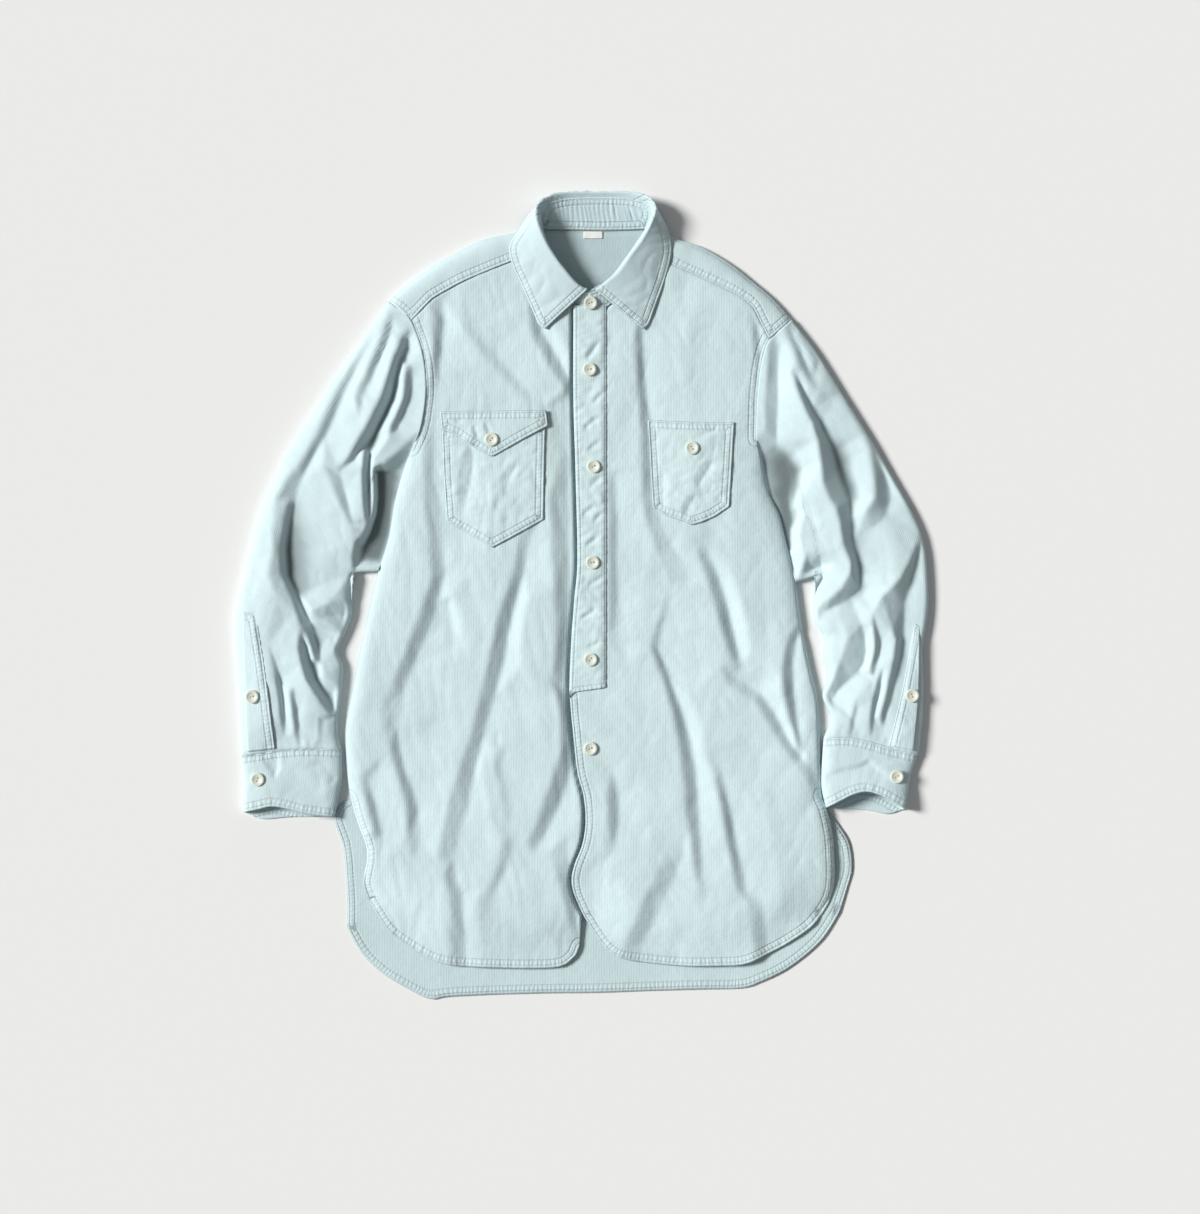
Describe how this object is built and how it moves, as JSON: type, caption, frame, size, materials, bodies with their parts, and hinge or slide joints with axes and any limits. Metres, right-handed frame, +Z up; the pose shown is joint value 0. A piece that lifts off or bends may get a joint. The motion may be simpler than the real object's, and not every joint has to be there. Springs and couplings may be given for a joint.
{
  "type": "corduroy shirt",
  "caption": "Long-sleeved corduroy shirt laid flat on its back, buttoned, with a shirt collar, chest pockets, curved hem and folds in the cloth.",
  "frame": {"origin": "middle of the footprint on the surface the shirt lies on", "axes": "+Y from the hem to the collar, +Z up out of the surface, +X to the wearer's left side as the shirt lies face up"},
  "size_m": [0.695, 0.8067, 0.034],
  "materials": {
    "corduroy": "fine-ribbed cotton corduroy",
    "label": "woven",
    "buttons": "satin"
  },
  "bodies": {
    "root": {"back": "corduroy", "yoke": "corduroy", "front_right": "corduroy", "front_left": "corduroy", "front_placket": "corduroy", "sleeve_right": "corduroy", "sleeve_left": "corduroy", "cuff_right": "corduroy", "cuff_left": "corduroy", "sleeve_placket_right": "corduroy", "sleeve_placket_left": "corduroy", "collar_stand": "corduroy", "collar_leaf": "corduroy", "pocket_right": "corduroy", "pocket_flap_right": "corduroy", "pocket_left": "corduroy", "neck_label": "label", "button_collar": "buttons", "button_front_1": "buttons", "button_front_2": "buttons", "button_front_3": "buttons", "button_front_4": "buttons", "button_front_5": "buttons", "button_pocket_right": "buttons", "button_pocket_left": "buttons", "button_cuff_right": "buttons", "button_cuff_left": "buttons", "button_sleeve_right": "buttons", "button_sleeve_left": "buttons"}
  },
  "joints": []
}
